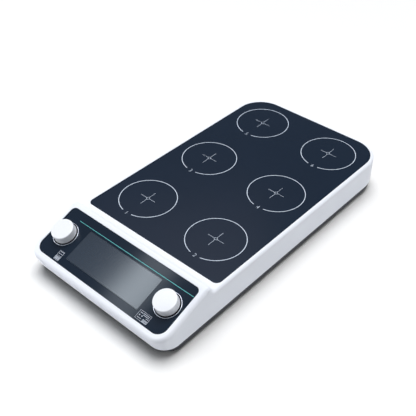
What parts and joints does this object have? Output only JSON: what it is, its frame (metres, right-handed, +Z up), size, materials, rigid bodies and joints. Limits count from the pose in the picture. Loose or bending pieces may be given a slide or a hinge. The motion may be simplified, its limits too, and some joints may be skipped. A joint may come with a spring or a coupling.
{
  "type": "multi-position magnetic stirrer",
  "caption": "Low bench stirrer with a dark glass worktop over a grid of spinning magnet rotors, and a sloping front console with a display and two push-and-turn knobs.",
  "frame": {"origin": "on the bench, under the middle of the object's footprint", "axes": "+X to the user's right, +Y to the rear, +Z up"},
  "size_m": [0.183, 0.3592, 0.0499],
  "materials": {
    "case_white": "satin moulded",
    "tray_dark": "matt moulded",
    "worktop_glass": "gloss, back-printed glass",
    "gasket_black": "matt",
    "overlay_dark": "satin film",
    "display_window": "gloss",
    "lcd_grey": "gloss",
    "board_green": "satin",
    "chip_black": "matt",
    "cable_grey": "matt",
    "lead_red": "satin",
    "foot_rubber": "matt",
    "screw_steel": "zinc plated",
    "plate_steel": "satin",
    "brass": "turned",
    "bearing_steel": "ground",
    "core_steel": "laminated, matt",
    "copper": "enamelled copper",
    "encoder_grey": "matt",
    "trim_chrome": "bright",
    "black_plastic": "satin moulded",
    "knob_white": "satin moulded",
    "carrier_white": "matt",
    "cup_steel": "nickel plated",
    "magnet_nickel": "nickel plated"
  },
  "bodies": {
    "housing": {"upper_case": "case_white", "base_tray": "tray_dark", "worktop": "worktop_glass", "worktop_gasket": "gasket_black", "panel_overlay": "overlay_dark", "display_window": "display_window", "lcd_module": "lcd_grey", "control_board": "board_green", "main_board": "board_green", "board_parts": "chip_black", "ribbon_cable": "cable_grey", "motor_leads": "lead_red", "power_leads": "lead_red", "rubber_feet": "foot_rubber", "base_screws": "screw_steel", "motor_screws": "screw_steel", "board_screws": "screw_steel", "stator_plates": "plate_steel", "bearing_tubes": "brass", "ball_bearings": "bearing_steel", "stator_cores": "core_steel", "stator_windings": "copper", "encoder_housings": "encoder_grey", "encoder_bushings": "brass", "encoder_nuts": "brass", "knob_trim_rings": "trim_chrome", "dc_jack": "black_plastic", "jack_nut": "screw_steel", "switch_housing": "black_plastic"},
    "speed_drive": {"speed_encoder_rotor": "carrier_white"},
    "speed_dial": {"speed_knob": "knob_white", "speed_shaft": "bearing_steel"},
    "timer_drive": {"timer_encoder_rotor": "carrier_white"},
    "timer_dial": {"timer_knob": "knob_white", "timer_shaft": "bearing_steel"},
    "rocker": {"power_rocker": "black_plastic"},
    "rotor_1": {"rotor_cup_1": "cup_steel", "motor_shaft_1": "bearing_steel", "magnet_carrier_1": "carrier_white", "drive_magnets_1": "magnet_nickel"},
    "rotor_2": {"rotor_cup_2": "cup_steel", "motor_shaft_2": "bearing_steel", "magnet_carrier_2": "carrier_white", "drive_magnets_2": "magnet_nickel"},
    "rotor_3": {"rotor_cup_3": "cup_steel", "motor_shaft_3": "bearing_steel", "magnet_carrier_3": "carrier_white", "drive_magnets_3": "magnet_nickel"},
    "rotor_4": {"rotor_cup_4": "cup_steel", "motor_shaft_4": "bearing_steel", "magnet_carrier_4": "carrier_white", "drive_magnets_4": "magnet_nickel"},
    "rotor_5": {"rotor_cup_5": "cup_steel", "motor_shaft_5": "bearing_steel", "magnet_carrier_5": "carrier_white", "drive_magnets_5": "magnet_nickel"},
    "rotor_6": {"rotor_cup_6": "cup_steel", "motor_shaft_6": "bearing_steel", "magnet_carrier_6": "carrier_white", "drive_magnets_6": "magnet_nickel"}
  },
  "joints": [
    {"name": "speed_turn", "type": "hinge", "parent": "housing", "child": "speed_drive", "pos_m": [-0.0692, -0.14788, 0.03734], "axis": [0, -0.3486, 0.9373], "continuous": true},
    {"name": "speed_push", "type": "slide", "parent": "speed_drive", "child": "speed_dial", "axis": [0, 0.3486, -0.9373], "range_m": [0, 0.0005], "stiffness_N_per_m": 400, "springref_m": -0.003},
    {"name": "timer_turn", "type": "hinge", "parent": "housing", "child": "timer_drive", "pos_m": [0.0692, -0.14788, 0.03734], "axis": [0, -0.3486, 0.9373], "continuous": true},
    {"name": "timer_push", "type": "slide", "parent": "timer_drive", "child": "timer_dial", "axis": [0, 0.3486, -0.9373], "range_m": [0, 0.0005], "stiffness_N_per_m": 400, "springref_m": -0.003},
    {"name": "power_rock", "type": "hinge", "parent": "housing", "child": "rocker", "pos_m": [-0.013, 0.1731, 0.021], "axis": [0, 0, -1], "range_deg": [0, 18]},
    {"name": "rotor_spin_1", "type": "hinge", "parent": "housing", "child": "rotor_1", "pos_m": [-0.04625, -0.0584, 0], "axis": [0, 0, 1], "continuous": true},
    {"name": "rotor_spin_2", "type": "hinge", "parent": "housing", "child": "rotor_2", "pos_m": [0.04625, -0.0584, 0], "axis": [0, 0, 1], "continuous": true},
    {"name": "rotor_spin_3", "type": "hinge", "parent": "housing", "child": "rotor_3", "pos_m": [-0.04625, 0.0356, 0], "axis": [0, 0, 1], "continuous": true},
    {"name": "rotor_spin_4", "type": "hinge", "parent": "housing", "child": "rotor_4", "pos_m": [0.04625, 0.0356, 0], "axis": [0, 0, 1], "continuous": true},
    {"name": "rotor_spin_5", "type": "hinge", "parent": "housing", "child": "rotor_5", "pos_m": [-0.04625, 0.1296, 0], "axis": [0, 0, 1], "continuous": true},
    {"name": "rotor_spin_6", "type": "hinge", "parent": "housing", "child": "rotor_6", "pos_m": [0.04625, 0.1296, 0], "axis": [0, 0, 1], "continuous": true}
  ]
}
